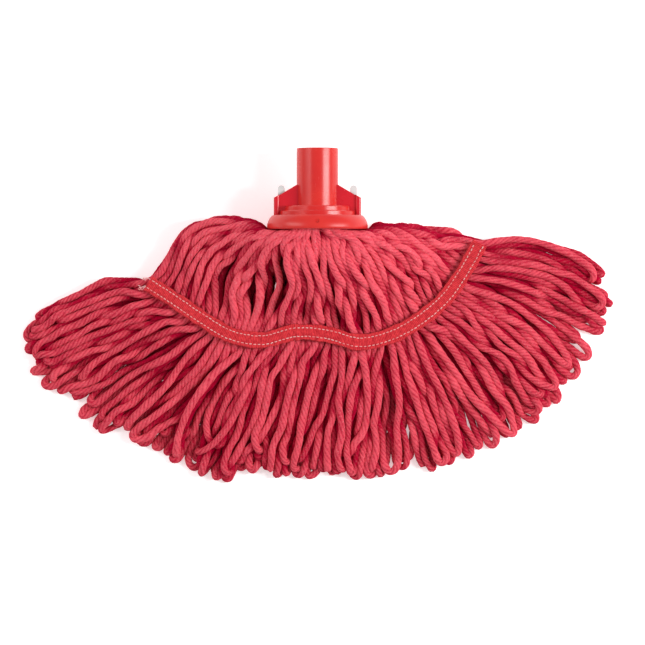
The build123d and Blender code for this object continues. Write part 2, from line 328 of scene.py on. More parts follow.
# %% [markdown]
# ## Layers of loops
#
# Each half of the hank is two layers of loops deep. The back half lies flat on the table and fills
# the outline behind the front half, so its layers have more loops and more even ones. The heights
# where the layers pass under the tape come from the CAD tapes, so that a tape sits on its yarn.

# %% The layers
Layer = namedtuple("Layer", "half side loops tape_z end_z depth reach")
front_tape_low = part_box("front_tape")[0][2] / MM
back_tape_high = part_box("back_tape")[1][2] / MM
STRAND_RADIUS = 2.6
ROOT_RADIUS = 2.4
OUTER = (0.72, 1.00)
INNER = (0.30, 0.68)
LAYERS = [
    # half, side of the axis, loops, height at the tape and at the ends, depth in the ring, reach
    Layer("front", 1, 30, front_tape_low - 3.4, 9.0, OUTER, (0.82, 1.00)),
    Layer("front", 1, 27, front_tape_low - 7.2, 5.5, INNER, (0.88, 1.02)),
    Layer("back", -1, 33, back_tape_high + 6.2, 5.0, INNER, (0.94, 1.03)),
    Layer("back", -1, 32, back_tape_high + 2.4, 3.0, OUTER, (0.93, 1.02)),
]
print("loops of yarn:", sum(layer.loops for layer in LAYERS))

# %% [markdown]
# ## One loop's first route
#
# A leg starts inside the ring's mouth, where the hank is squeezed into half a disc. It bows over
# the near and middle rails, is held at the tape, and falls to its loop. The two legs of a loop
# drift apart and lean on each other by a different amount each time. Slow sine waves along a leg
# stand for the set that the yarn keeps from its bag.

# %% Smooth curves and bunches
SPACING = 3.6
BUNCH = {"front": 0.006, "back": 0.002}
SMALL_BUNCH = 0.7
rng = np.random.default_rng(61)


def even_steps(points, step):
    """The smooth curve through some points, cut into steps of about one length."""
    dense = rail(points, np.linspace(0, 1, 30 * len(points)))
    run = run_along(dense)
    at_run = np.linspace(0, run[-1], max(8, round(run[-1] / step)) + 1)
    return np.stack([np.interp(at_run, run, dense[:, axis]) for axis in range(3)], axis=1)


def gathered(share, level, half):
    """Strands bunch up here and leave slits there: a share moved towards its bunch's middle."""
    size = BUNCH[half]
    bunch = size * math.sin(2 * math.pi * (8.3 * share + 0.37 * level))
    small = SMALL_BUNCH * size * math.sin(2 * math.pi * (18.7 * share + 0.61 * level))
    return share + bunch + small


# %% One leg
ROOT_SPREAD = 21.0
ROOT_DISC = 21.5
ROOT_HALF_GAP = 2.2
LEAST_DISC = 4.0
INSIDE_MOUTH = 3.0
OUTSIDE_MOUTH = -4.0
RIM_REACH = 33.0
RIM_CROWD = 2.6
RIM_DRIFT = 1.5
NEAR_LEAN = 0.6
LOWEST_BACK = 4.0


def leg(share, layer, lean):
    """One leg's points from the ring to the tape."""
    axis_z = AXIS_Z / MM
    x = ROOT_SPREAD * (2 * share - 1) + rng.uniform(-1, 1)
    disc = math.sqrt(max(LEAST_DISC, ROOT_DISC**2 - x**2))
    out = ROOT_HALF_GAP + (disc - ROOT_HALF_GAP) * rng.uniform(*layer.depth)
    root_z = axis_z + layer.side * out
    near = rail_point(NEAR_RAIL, gathered(share, 0, layer.half) + NEAR_LEAN * lean)
    middle = rail_point(MID_RAIL, gathered(share, 1, layer.half) + lean)
    tape = rail_point(TAPE_RAIL, share)
    depth_share = np.mean(layer.depth)
    squeeze = 0.55 + 0.45 * depth_share
    if layer.side > 0:
        near[2] = axis_z + (near[2] - axis_z) * squeeze
        middle[2] = layer.tape_z + (middle[2] - 22) * squeeze + 3
    else:
        near[2] = axis_z - (near[2] - axis_z) * squeeze
        middle[2] = max(LOWEST_BACK, layer.tape_z + 2 + 6 * (1 - depth_share))
    near[:2] *= 0.80 + 0.20 * depth_share
    middle[:2] *= 0.94 + 0.06 * depth_share
    rim_x = RIM_REACH * math.tanh(RIM_CROWD * (2 * share - 1)) + rng.uniform(-RIM_DRIFT, RIM_DRIFT)
    exit_point = (rim_x, OUTSIDE_MOUTH, root_z + 0.25 * (near[2] - root_z))
    before_tape = 0.35 * middle + 0.65 * np.array([*tape, layer.tape_z])
    before_tape[2] = layer.tape_z + 0.22 * (middle[2] - layer.tape_z)
    return [(x, INSIDE_MOUTH, root_z), exit_point, near, middle, before_tape, (*tape, layer.tape_z)]


# %% One loop
LOOSE = {"front": 1.0, "back": 0.5}
LEAN = 0.016
LEG_LEAN = 0.012
TIP_DRIFT = 0.010
LEFT_DROOP = 0.03
DROOP_ENDS = 0.45
OPENING = 6.0
END_WIDTH = (2.9, 5.0)
ROLL = 0.85
BOW = 5.0
OUTWARD_BOW = 9.0
RAISED_SHARE = 0.22
LOWEST = 2.7
END_PAST = 1.2
FRINGE = (0.2, 0.45, 0.7, 0.93)


def loop_route(share_a, share_b, layer):
    """A loop's points: down one leg, round the end and back up the other."""
    loose = LOOSE[layer.half]
    lean = rng.normal(0, LEAN)
    down = leg(share_a, layer, lean + rng.normal(0, LEG_LEAN))
    up = leg(share_b, layer, lean + rng.normal(0, LEG_LEAN))
    share = (share_a + share_b) / 2
    tape = rail_point(TAPE_RAIL, share)
    drooping = LEFT_DROOP * math.sin(math.pi * min(1.0, share / DROOP_ENDS))
    drift = loose * rng.normal(0, TIP_DRIFT)
    tip = rail_point(TIPS_RAIL, gathered(share, 2, layer.half) + drooping + drift)
    along = (tip - tape) * rng.uniform(*layer.reach)
    length = np.linalg.norm(along)
    along = along / length
    across = np.array([-along[1], along[0]])
    pitch = np.dot(across, np.array(up[-1][:2]) - np.array(down[-1][:2]))
    if pitch < 0:
        across = -across
    half_pitch = abs(pitch) / 2
    opening = loose * rng.uniform(0.0, OPENING)
    end_width = rng.uniform(*END_WIDTH)
    roll = rng.normal(0, ROLL)
    edge = abs(2 * share - 1)
    bow = loose * rng.normal(0, BOW) * (1 - 0.75 * edge**4)
    outward = OUTWARD_BOW * edge * (0.45 if share < 0.5 else 1.0)
    bow += outward if np.dot(across, (2 * share - 1, 0.6 * edge)) > 0 else -outward
    hump = rng.uniform(0.3, 3.0) + (rng.uniform(0, 1) < RAISED_SHARE) * rng.uniform(2, 5)

    def beside(t, sign):
        """A point of the fringe: t from the tape to the end, on one side of the loop's middle."""
        wide = half_pitch + (end_width - half_pitch) * t + opening * math.sin(math.pi * t) ** 1.3
        turn = roll * t
        flat = tape + along * (length * t) + across * (bow * math.sin(math.pi * t * 0.9))
        flat = flat + across * sign * wide * math.cos(turn)
        fall = (layer.end_z - layer.tape_z) * t
        height = layer.tape_z + fall + hump * math.sin(math.pi * min(1, 1.6 * t))
        return (*flat, max(LOWEST, height + sign * wide * math.sin(turn)))

    end = tape + along * (length + END_PAST) + across * bow * math.sin(0.9 * math.pi)
    down += [beside(t, -1) for t in FRINGE] + [[*end, max(LOWEST, layer.end_z)]]
    back = [beside(t, 1) for t in FRINGE[::-1]] + up[::-1]
    return even_steps(down + back, SPACING)


# %% [markdown]
# Handled yarn doesn't lie evenly. In places the front strands are parted and show a dark hollow,
# and below the ring's left side a bunch of them is drawn over to the middle. A parting is one
# place, a direction, a length and how far the strands are moved aside. Two strays of the back half
# stand out of the outline beside the ring, as strays do on a real head.

# %% Partings and drawn places
PARTING_REACH = 2.2
PARTING_EDGE = 1.2
PARTINGS = [
    # x, y, direction of the strands, half length, how far aside
    (-46, -38, 55, 13, 3.5),
    (27, -60, 95, 14, 2.8),
    (-84, -18, 35, 14, 3.0),
    (60, -30, 130, 12, 2.6),
    (-30, -103, 85, 17, 5.0),
    (16, -112, 100, 14, 3.0),
    (84, -96, 122, 14, 3.2),
    (-92, -98, 52, 14, 3.0),
]
DRAWN = [
    # x, y, half width, half height, how far right, how far up
    (-27, -41, 15, 13, 11.0, 0.0),
    (-66, -36, 12, 12, -3.0, 2.0),
    (-46, -60, 14, 9, 6.0, 0.0),
    (-12, -96, 9, 10, -5.0, 0.0),
]


def part_aside(route):
    """Move a front strand away from the middle of each parting, and along with each drawn place."""
    for x, y, wide, high, right, up in DRAWN:
        near = np.exp(-(((route[:, 0] - x) / wide) ** 2) - ((route[:, 1] - y) / high) ** 2)
        route[:, 0] += right * near
        route[:, 1] += up * near
    for x, y, direction, length, aside in PARTINGS:
        way = math.radians(direction)
        along = (route[:, 0] - x) * math.cos(way) + (route[:, 1] - y) * math.sin(way)
        over = -(route[:, 0] - x) * math.sin(way) + (route[:, 1] - y) * math.cos(way)
        reach = PARTING_REACH * abs(aside)
        amount = aside * np.exp(-((along / length) ** 2)) * np.exp(-((over / reach) ** 2))
        amount *= np.tanh(over / PARTING_EDGE)
        route[:, 0] -= amount * math.sin(way)
        route[:, 1] += amount * math.cos(way)
    return route


# %% Lay out every loop
class Strand:
    """A loop of yarn on its way from a first route to a mesh."""

    def __init__(self, points, half, sector, tape_z):
        self.points = points
        self.half = half
        self.sector = sector
        self.tape_z = tape_z
        # Painted light and shade along the strand, filled in after the settling.
        self.open = np.ones(len(points))
        self.tint = rng.uniform(0, 1)
        self.phase = rng.uniform(0, 2 * math.pi)


STRAYS = [
    [(20, 3, 29), (33, -4, 30), (39, 4, 31), (44, 5.5, 30), (49, 1, 27), (58, -16, 18),
     (80, -38, 10), (100, -60, 8), (124, -78, 6), (127, -82, 5), (104, -66, 7), (70, -40, 10),
     (40, -24, 18), (24, -6, 26), (17, 3, 26)],
    [(21, 3, 24), (34, -4, 22), (60, -3, 17), (82, -4, 12), (91, -1, 11), (98, -3, 10),
     (102, -8, 8), (101, -15, 7), (120, -30, 6), (160, -50, 5), (163, -54, 4.5), (118, -38, 6),
     (70, -20, 12), (34, -7, 22), (19, 3, 23)],
]
SECTORS = 8
LEG_JITTER = 0.12
WAVES = ((95, 1.5), (38, 0.9))


def waved(route):
    """Add the slow sine waves of the yarn's set, half as high as they are wide."""
    run = np.arange(len(route)) * SPACING
    for axis in range(3):
        for wave, size in WAVES:
            length = wave * rng.uniform(0.8, 1.25)
            swing = np.sin(2 * math.pi * run / length + rng.uniform(0, 2 * math.pi))
            route[:, axis] += size * (0.5 if axis == 2 else 1.0) * swing
    return route


strands = []
for layer in LAYERS:
    for k in range(layer.loops):
        jitter = rng.normal(0, LEG_JITTER, 2)
        a, b = np.clip(((2 * k + 0.5 + jitter) + (0, 1)) / (2 * layer.loops), 0, 1)
        route = waved(loop_route(float(a), float(b), layer))
        if layer.half == "front":
            route = part_aside(route)
        sector = min(SECTORS, 1 + SECTORS * k // layer.loops)
        strands.append(Strand(route, layer.half, sector, layer.tape_z))
for stray in STRAYS:
    strands.append(Strand(even_steps(stray, SPACING), "back", SECTORS, LAYERS[2].tape_z))
metres = sum(len(s.points) for s in strands) * SPACING / 1000
print("laid", len(strands), "loops,", round(metres, 1), "m of yarn")

# %% [markdown]
# ## Letting the yarn settle
#
# Routes drawn one by one run through each other. Cloth simulation has no strands that push each
# other, and hair dynamics doesn't collide with itself, so the settling is done here with a few
# lines of position-based dynamics. Every round each point falls a little, neighbours on a strand
# are pulled back to their distance, points of different strands that are too close are pushed
# apart, and what goes under the table or into the ring is moved out. Points in the mouth are held,
# and points under the tape nearly so.

# %% Gather the points
ROOT_PUSH = 1.15
FREE_PUSH = 2.5
HELD_RUN = 7
SEWN_REACH = 6.5
UNDER_TAPE_REACH = 5.6
SEWN_MOBILITY = 0.12

starts = np.cumsum([0] + [len(s.points) for s in strands])
points = np.vstack([s.points for s in strands])
home = points.copy()
owner = np.repeat(np.arange(len(strands)), np.diff(starts))
index_in = np.arange(len(points)) - starts[owner]
from_end = np.minimum(index_in, starts[owner + 1] - 1 - starts[owner] - index_in)
from_ring = from_end * SPACING
push_radius = ROOT_PUSH + (FREE_PUSH - ROOT_PUSH) * np.clip((from_ring - 6) / 62, 0, 1)
tape_line = rail(TAPE_RAIL, np.linspace(0, 1, 300))
held = from_ring < HELD_RUN
mobility = np.where(held, 0.0, 1.0)
strand_tape_z = np.array([s.tape_z for s in strands])[owner]


def near_tape(p):
    """Distance in plan from each point to the tape's middle line."""
    away_x = p[:, 0, None] - tape_line[None, :, 0]
    away_y = p[:, 1, None] - tape_line[None, :, 1]
    return np.min(np.hypot(away_x, away_y), axis=1)


tape_distance = near_tape(home)
sewn = tape_distance < SEWN_REACH
mobility[sewn] = SEWN_MOBILITY
in_front = np.array([s.half == "front" for s in strands])[owner]
under_tape = (tape_distance < UNDER_TAPE_REACH) & in_front
print("held points:", int(held.sum()), "sewn points:", int(sewn.sum()))


# %% Find the points that are close
SAME_STRAND = 3


def close_pairs(p, reach):
    """Pairs of points in neighbouring cells of one reach, leaving out neighbours on a strand."""
    cell = np.floor((p - p.min(axis=0)) / reach).astype(np.int64) + 1
    wide = cell.max(axis=0) + 2
    key = (cell[:, 0] * wide[1] + cell[:, 1]) * wide[2] + cell[:, 2]
    order = np.argsort(key, kind="stable")
    ranked = key[order]
    firsts, seconds = [], []
    for dx in (-1, 0, 1):
        for dy in (-1, 0, 1):
            shifted = key + (dx * wide[1] + dy) * wide[2]
            low = np.searchsorted(ranked, shifted - 1, "left")
            high = np.searchsorted(ranked, shifted + 1, "right")
            count = high - low
            first = np.repeat(np.arange(len(p)), count)
            offset = np.arange(count.sum()) - np.repeat(np.cumsum(count) - count, count)
            second = order[np.repeat(low, count) + offset]
            keep = second > first
            firsts.append(first[keep])
            seconds.append(second[keep])
    first, second = np.concatenate(firsts), np.concatenate(seconds)
    apart = (owner[first] != owner[second]) | (np.abs(first - second) > SAME_STRAND)
    return first[apart], second[apart]


# %% Settle
ROUNDS = 90
FALL = 0.10
PAIRS_EVERY = 6
PAIR_REACH = 6.0
HOME_PULL = 0.035
PUSH_SHARE = 0.9
LINK_SHARE = 0.8
SMOOTHING = 0.16
FLOOR_RADIUS = 2.45
FLOOR_LIFT = 0.55
TAPE_SLACK = 0.2
RING_LIP = 3.0
TINY = 1e-9
link = np.flatnonzero(owner[:-1] == owner[1:])
inner = np.flatnonzero((owner[:-2] == owner[2:])) + 1


def push(p, first, second, gap, share):
    """Move both ends of each pair along the line between them, by a share of what is missing."""
    apart = p[second] - p[first]
    distance = np.linalg.norm(apart, axis=1) + TINY
    need = np.maximum(0, gap - distance) * share
    weight = mobility[first] + mobility[second] + TINY
    step = apart * (need / distance / weight)[:, None]
    moved = np.zeros_like(p)
    hits = np.ones(len(p))
    for axis in range(3):
        moved[:, axis] += np.bincount(second, step[:, axis] * mobility[second], len(p))
        moved[:, axis] -= np.bincount(first, step[:, axis] * mobility[first], len(p))
    touched = np.concatenate([first[need > 0], second[need > 0]])
    hits += 0.25 * np.bincount(touched, minlength=len(p))
    return p + moved / hits[:, None]


for turn in range(ROUNDS):
    if turn % PAIRS_EVERY == 0:
        first, second = close_pairs(points, PAIR_REACH)
    points[:, 2] -= FALL * mobility
    points += HOME_PULL * (home - points) * mobility[:, None] * (1, 1, 0.6)
    points = push(points, first, second, push_radius[first] + push_radius[second], PUSH_SHARE)
    for parity in (0, 1):
        a = link[(index_in[link] % 2) == parity]
        b = a + 1
        apart = points[b] - points[a]
        distance = np.linalg.norm(apart, axis=1) + TINY
        weight = mobility[a] + mobility[b] + TINY
        step = apart * ((distance - SPACING) / distance / weight * LINK_SHARE)[:, None]
        points[a] += step * mobility[a][:, None]
        points[b] -= step * mobility[b][:, None]
    smooth = (points[inner - 1] + points[inner + 1]) / 2 - points[inner]
    points[inner] += SMOOTHING * smooth * mobility[inner][:, None]
    points[:, 2] = np.maximum(points[:, 2], np.minimum(push_radius, FLOOR_RADIUS) + FLOOR_LIFT)
    ceiling = strand_tape_z[under_tape] + TAPE_SLACK
    points[under_tape, 2] = np.minimum(points[under_tape, 2], ceiling)
    from_axis = np.hypot(points[:, 0], points[:, 2] - AXIS_Z / MM)
    under_ring = from_axis < RING_RADIUS / MM + STRAND_RADIUS
    under_ring &= ~held & (points[:, 1] > -RING_LIP)
    points[under_ring, 1] -= 0.6 * (points[under_ring, 1] + RING_LIP)

# %% [markdown]
# Shade is painted into the yarn's colour: it is deepest where yarn lies under other yarn, and the
# yarn that lies open is painted paler. How many strands cover each point, above it or below it,
# whichever is fewer, gives a value that the finish reads later. The loops past the tape get more
# painted shade too.

# %% Painted light and shade: how covered each point lies
SHADE_REACH = 8.5
COVER_FROM = 1.2
COVER_OVER = 2.5
COVER_REACH = 6.0
SHADE_PER_STRAND = 0.46
UNDERSIDE = 0.6
FRINGE_SHADE = 0.34
FRINGE_FROM = 70
FRINGE_FADE = 35
first, second = close_pairs(points, SHADE_REACH)
rise = points[second, 2] - points[first, 2]
flat_gap = np.hypot(*(points[second, :2] - points[first, :2]).T)
over = np.clip((np.abs(rise) - COVER_FROM) / COVER_OVER, 0, 1)
over *= np.clip(1.3 - flat_gap / COVER_REACH, 0, 1)
covered = {1: np.zeros(len(points)), -1: np.zeros(len(points))}
for face in (1, -1):
    for point, sign in ((first, 1), (second, -1)):
        above = sign * rise * face > 0
        covered[face] += np.bincount(point[above], over[above], len(points))
# Painted light and shade: points covered by other strands get painted shade, open points painted
# light.
painted_light_level = np.exp(-SHADE_PER_STRAND * np.minimum(covered[1], covered[-1] + UNDERSIDE))
# The fringe past the tape gets more painted shade, and the yarn nearer the ring a little painted
# light.
painted_light_level *= 1.10 - FRINGE_SHADE * np.clip((from_ring - FRINGE_FROM) / FRINGE_FADE, 0, 1)
for number, strand in enumerate(strands):
    strand.points = points[starts[number]:starts[number + 1]]
    strand.open = painted_light_level[starts[number]:starts[number + 1]]
print("openness: mean", round(float(painted_light_level.mean()), 2))
print("settled in", ROUNDS, "rounds; highest point", round(points[:, 2].max(), 1), "mm")

# %% [markdown]
# ## Twisted yarn from a line
#
# The yarn is five plies twisted together, and the twist is what makes it look like mop yarn and not
# like rubber cord. A texture of slanted lines would do from far away, but the outline would be
# smooth, so the plies are real: a five-lobed section is swept along the line and turned as it goes.
# Each ply has four vertices round it: in the groove, on the crest and on its two flanks.
# A second map holds each ply's own length and width, so fibres in the material follow the twist.

# %% Sweep the plies
SECTION = 20
PLIES = 5
PLY_TURN = 21.0
GROOVE = 0.15
STEP = 1.2
ply_angle = np.arange(SECTION) * 2 * math.pi / SECTION
ply_crest = np.abs(np.cos(ply_angle * PLIES / 2))


def spline(p, step):
    """A cubic B-spline along the points, cut finely."""
    p = np.vstack([2 * p[0] - p[1], p, 2 * p[-1] - p[-2]])
    spans = len(p) - 3
    count = max(8, int(spans * SPACING / step))
    t = np.linspace(0, spans - 1e-6, count)
    k = t.astype(int)
    f = (t - k)[:, None]
    a, b, c, d = p[k], p[k + 1], p[k + 2], p[k + 3]
    return ((1 - f) ** 3 * a + (3 * f**3 - 6 * f**2 + 4) * b
            + (-3 * f**3 + 3 * f**2 + 3 * f + 1) * c + f**3 * d) / 6


def sideways(line, away):
    """Two unit directions across a line at each of its points."""
    tangent = np.gradient(line, axis=0)
    tangent /= np.linalg.norm(tangent, axis=1)[:, None] + TINY
    side = np.cross(tangent, away)
    side /= np.linalg.norm(side, axis=1)[:, None] + TINY
    return side, np.cross(side, tangent)


def twisted(line, radius, phase):
    """Vertices of a twisted strand along a line, with the run of each ring."""
    side, up = sideways(line, (0, 0, 1))
    run = run_along(line)
    looser = 1.6 * np.sin(run / 37 + phase) + 0.6 * np.sin(run / 13 + 3 * phase)
    looser += 0.2 * np.sin(run / 4.3 + phase)
    turn = phase + 2 * math.pi * run / (PLY_TURN * (1.04 + 0.16 * math.sin(5 * phase))) + looser
    angle = ply_angle[None, :] + turn[:, None]
    depth = GROOVE * (0.80 + 0.50 * np.sin(run / 5.7 + 2 * phase) * np.sin(run / 17 + phase))
    spread = radius[:, None] * (1 - depth[:, None] * (1 - ply_crest[None, :]) ** 1.2)
    verts = line[:, None, :] + (spread * np.cos(angle))[..., None] * side[:, None, :]
    verts += (spread * np.sin(angle))[..., None] * up[:, None, :]
    return verts, run


# %% Faces and maps of one strand
SHEET_MARGIN = 0.06


def strand_faces(count):
    """Quads between the rings of a strand, with the place of each quad's sides round the strand."""
    row = np.arange(count - 1)[:, None] * SECTION
    col = np.arange(SECTION)[None, :]
    following = (col + 1) % SECTION
    above = row + SECTION
    quad = np.stack([row + col, row + following, above + following, above + col], -1)
    left, right = np.broadcast_arrays(col / SECTION, (col + 1) / SECTION + 0 * row)
    return quad.reshape(-1, 4), left, right


def quad_map(left, right, low, high):
    """Map corners in the order of a quad's vertices."""
    left, right, low, high = np.broadcast_arrays(left, right, low, high)
    return np.stack([left, low, right, low, right, high, left, high], -1).reshape(-1, 2)


def bake_place(left, right, whole, column_run, columns):
    """A strand's place on the bake sheet: the group's length cut into columns, side by side."""
    column = np.floor(whole[:-1] / column_run)
    inside = (SHEET_MARGIN / 2 + (1 - SHEET_MARGIN) * side for side in (left, right))
    u0, u1 = ((column[:, None] + side) / (columns + 1) for side in inside)
    v0, v1 = ((end - column * column_run)[:, None] / (column_run + 2 * STEP)
              for end in (whole[:-1], whole[1:]))
    return quad_map(u0, u1, v0, v1)


# %% Strands to one mesh
def yarn_mesh(name, group):
    """One mesh of several strands: geometry, the two maps and the values that the finish reads."""
    verts, crest, tint, air, quads, ply_map, bake_map, caps = [], [], [], [], [], [], [], []
    total = sum(len(line) for line, radius, strand in group) * STEP
    columns = max(1, math.ceil(math.sqrt(total / (2 * math.pi * STRAND_RADIUS))))
    column_run = total / columns + 3 * STEP
    base, run_before = 0, 0.0
    for line, radius, strand in group:
        ring, run = twisted(line, radius, strand.phase)
        count = len(line)
        verts.append(ring.reshape(-1, 3))
        crest.append(np.tile(ply_crest, count))
        tint.append(np.full(count * SECTION, strand.tint))
        # The painted light and shade of each point, kept for the finish to read.
        along = np.linspace(0, 1, len(strand.open))
        air.append(np.repeat(np.interp(np.linspace(0, 1, count), along, strand.open), SECTION))
        quad, left, right = strand_faces(count)
        quads.append(base + quad)
        ply_map.append(quad_map(left, right, run[:-1, None], run[1:, None]))
        bake_map.append(bake_place(left, right, run_before + run, column_run, columns))
        caps.append([base + i for i in range(SECTION)][::-1])
        caps.append([base + (count - 1) * SECTION + i for i in range(SECTION)])
        base += count * SECTION
        run_before += run[-1]
    verts = np.vstack(verts) * MM + (0, MOUTH_Y, 0)
    quads = np.vstack(quads)
    mesh = bpy.data.meshes.new(name)
    mesh.vertices.add(len(verts))
    mesh.vertices.foreach_set("co", verts.ravel())
    corners = np.concatenate([quads.ravel(), np.array(caps).ravel()])
    mesh.loops.add(len(corners))
    mesh.loops.foreach_set("vertex_index", corners.astype(np.int32))
    sizes = np.concatenate([np.full(len(quads), 4), np.full(len(caps), SECTION)])
    mesh.polygons.add(len(sizes))
    mesh.polygons.foreach_set("loop_start", (np.cumsum(sizes) - sizes).astype(np.int32))
    mesh.update(calc_edges=True)
    mesh.polygons.foreach_set("use_smooth", np.ones(len(sizes), bool))
    for map_name, rows in (("OFBake", bake_map), ("PlyMap", ply_map)):
        flat = np.vstack(rows)
        flat = np.vstack([flat, np.zeros((len(corners) - len(flat), 2))])
        mesh.uv_layers.new(name=map_name).data.foreach_set("uv", flat.ravel().astype(np.float32))
    keep_values(mesh, ply_crest=np.concatenate(crest), strand_tint=np.concatenate(tint),
                open_air=np.concatenate(air))
    mesh.validate()
    return placed(name, mesh)


# %% [markdown]
# ## The yarn's finish
#
# Dyed cotton and viscose yarn is matt. Its colour holds painted shade and light: deep red in its
# grooves and where other yarn covers it, paler on its crests and where it lies open. Four things make
# it: a colour that follows the plies, with its painted shade and light, a slow unevenness of the dye
# from strand to strand and along each strand, specks of pale lint, and fine fibres along each ply as
# a bump. A faint bloom at grazing angles is the shader's own sheen.

# %% Yarn finish
def yarn_finish():
    """Painted shade: deep red in the grooves and where covered. Painted light: paler on the crests
    that lie open.
    """
    material, shader, at = finish("dyed_yarn", Sheen_Weight=0.04, Sheen_Roughness=0.45,
                                  Sheen_Tint=rgb(1.0, 0.50, 0.58), Specular_IOR_Level=0.01)
    crest, tint, air = (at.attribute(name) for name in ("ply_crest", "strand_tint", "open_air"))
    ply = at.node("ShaderNodeUVMap", {"uv_map": "PlyMap"})
    fibres = ply.stretched((34.0, 0.5, 1.0)).noise(1.0, detail=5.0, roughness=0.65)
    slub = ply.stretched((1.0, 0.13, 1.0)).noise(1.0, detail=2.0)
    cloud = at.noise(60.0, detail=3.0)
    fuzz = at.noise(520.0, detail=3.0, roughness=0.7)
    lint = at.noise(1000.0, detail=2.0).between(0.55, 0.72)
    broken = ply.stretched((3.0, 0.30, 1.0)).noise(1.0, detail=2.0).between(0.40, 0.62)
    # Painted light and shade: paler where the yarn lies open and on the ply crests, deeper where
    # other yarn covers it. Slubs, clouds, fuzz and the strand's tint are the dye's own unevenness.
    painted_light_and_dye = air * 0.62 + crest * 0.16 + slub * 0.22 + cloud * 0.2 + fuzz * 0.32 + tint * 0.10
    body = painted_light_and_dye.between(0.66, 1.20).blend(rgb(0.41, 0.0001, 0.026), rgb(0.92, 0.112, 0.152))
    # Painted shade in the ply grooves, broken up along the plies.
    painted_groove_shade = (1 - crest) ** 1.2 * broken * (fibres * 0.5 + 0.35)
    groove_shaded_colour = painted_groove_shade.blend(body, rgb(0.52, 0.002, 0.030))
    # Specks of pale lint, weaker where painted shade lies.
    pale = (lint * 0.34 * air).blend(groove_shaded_colour, rgb(0.95, 0.42, 0.44))
    height = fibres * 0.62 + fuzz * 0.38
    return drive(material, shader, Base_Color=pale, Roughness=0.98 - fibres * 0.2,
                 Normal=bumped(height, 0.0009))


yarn_material = yarn_finish()
print("yarn finish has", len(yarn_material.node_tree.nodes), "nodes")

# %% [markdown]
# ## Building the two fans
#
# Each half is cut into eight sectors, like slices of the fan, and each sector is a piece of its own.

# %% The fans of yarn
BEND_START = 1.0
BEND_LENGTH = 30.0
GROWS_FROM = 4
GROWS_OVER = 40
PRESS_REACH = 6.0
PRESSED = 0.12


def strand_radius(strand, line):
    """The strand's radius along its line: squeezed in the ring and pressed flat under the tape."""
    run = run_along(line)
    out = np.minimum(run, run[-1] - run)
    grown = np.clip((out - GROWS_FROM) / GROWS_OVER, 0, 1)
    grown = grown * grown * (3 - 2 * grown)
    radius = ROOT_RADIUS + (STRAND_RADIUS - ROOT_RADIUS) * grown
    phase = strand.phase
    radius *= 1 + 0.08 * np.sin(run / 11.3 + phase) + 0.05 * np.sin(run / 4.1 + 2 * phase)
    radius *= 1 + 0.04 * np.sin(run / 1.9 + 3 * phase)
    radius *= 0.93 + 0.14 * strand.tint
    pressed = np.exp(-((near_tape(line) / PRESS_REACH) ** 4))
    return radius * (1 - PRESSED * pressed)


for half in ("front", "back"):
    for sector in range(1, SECTORS + 1):
        group = []
        for strand in strands:
            if strand.half == half and strand.sector == sector:
                line = spline(strand.points, STEP)
                group.append((line, strand_radius(strand, line), strand))
        piece = yarn_mesh(f"{half}_yarn_{sector}", group)
        piece.data.materials.append(yarn_material)
        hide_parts(f"{half}_strands_{sector}", f"{half}_loops_{sector}")
        share = (sector - 0.5) / SECTORS
        out = rail_point(MID_RAIL, share)[:2]
        out = out / np.linalg.norm(out)
        start = np.array([ROOT_SPREAD * (2 * share - 1), -BEND_START])
        end = start + out * BEND_LENGTH
        end[0] * MM
        MOUTH_Y + end[1] * MM
        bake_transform(piece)
print("yarn pieces:", 2 * SECTORS)

# %% [markdown]
# ## The fold inside the socket
#
# Inside, the hank is folded over the white bar, which the snap arms pull up into the socket. Only a
# glimpse shows between the strands, but when a half is lifted one looks straight at it. So the
# strands are there, bent over the bar like a skein over a peg.

# %% Folded strands
fold_low, fold_high = (np.array(corner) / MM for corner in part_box("hank_fold"))
bar_low, bar_high = (np.array(corner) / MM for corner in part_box("yarn_bar"))
FOLD_RADIUS = 1.7
FOLD_STRANDS = 9
FOLD_ROOM = 0.3
FOLD_RISES = (2.1, 4.9)
z = AXIS_Z / MM
fold_group = []
for rise in FOLD_RISES:
    top = min(bar_high[1] + rise, fold_high[1] - FOLD_RADIUS) - MOUTH_Y / MM
    out = (bar_high[2] - bar_low[2]) / 2 + rise
    bottom = fold_low[1] + FOLD_RADIUS * 0.2 - MOUTH_Y / MM
    for k in range(FOLD_STRANDS):
        x = (fold_high[0] - FOLD_RADIUS - FOLD_ROOM) * (2 * (k + 0.5) / FOLD_STRANDS - 1)
        bend = [(x, bottom, z - out), (x, bottom + 2, z - out - 0.3), (x, top - 2.2, z - out),
                (x + 0.4, top - 0.3, z - out * 0.62), (x, top, z),
                (x - 0.4, top - 0.3, z + out * 0.62), (x, top - 2.2, z + out),
                (x, bottom + 2, z + out + 0.3), (x, bottom, z + out)]
        line = rail(bend, np.linspace(0, 1, 60))
        folded = Strand(line, "fold", 0, 0.0)
        fold_group.append((line, np.full(len(line), FOLD_RADIUS), folded))
hank_fold = yarn_mesh("folded_hank", fold_group)
hank_fold.data.materials.append(yarn_material)
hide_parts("hank_fold")
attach(hank_fold, "socket")
print("folded strands:", len(fold_group))

# %% [markdown]
# ## The sewn tapes
#
# A woven tape lies across each half and is lockstitched through the yarn in two rows. It is a real
# strip here, with thickness, rounded selvedges, low ribs across it and a dimple at every stitch. It
# could be a curve with a flat bevel, but a strip made point by point can dip at the stitches.

# %% Strip of tape
TAPE_WIDTH = 11.4
TAPE_THICKNESS = 1.2
SUNK = 1.15
BACK_RAISED = 0.35
STITCH_PITCH = 2.8
ROW_OFFSET = 3.0
ACROSS = 24
ALONG = 560
RIB_PITCH = 1.15
WAVE_PHASE = {1: 1.7, -1: 0.4}
RELIEF = 0.9


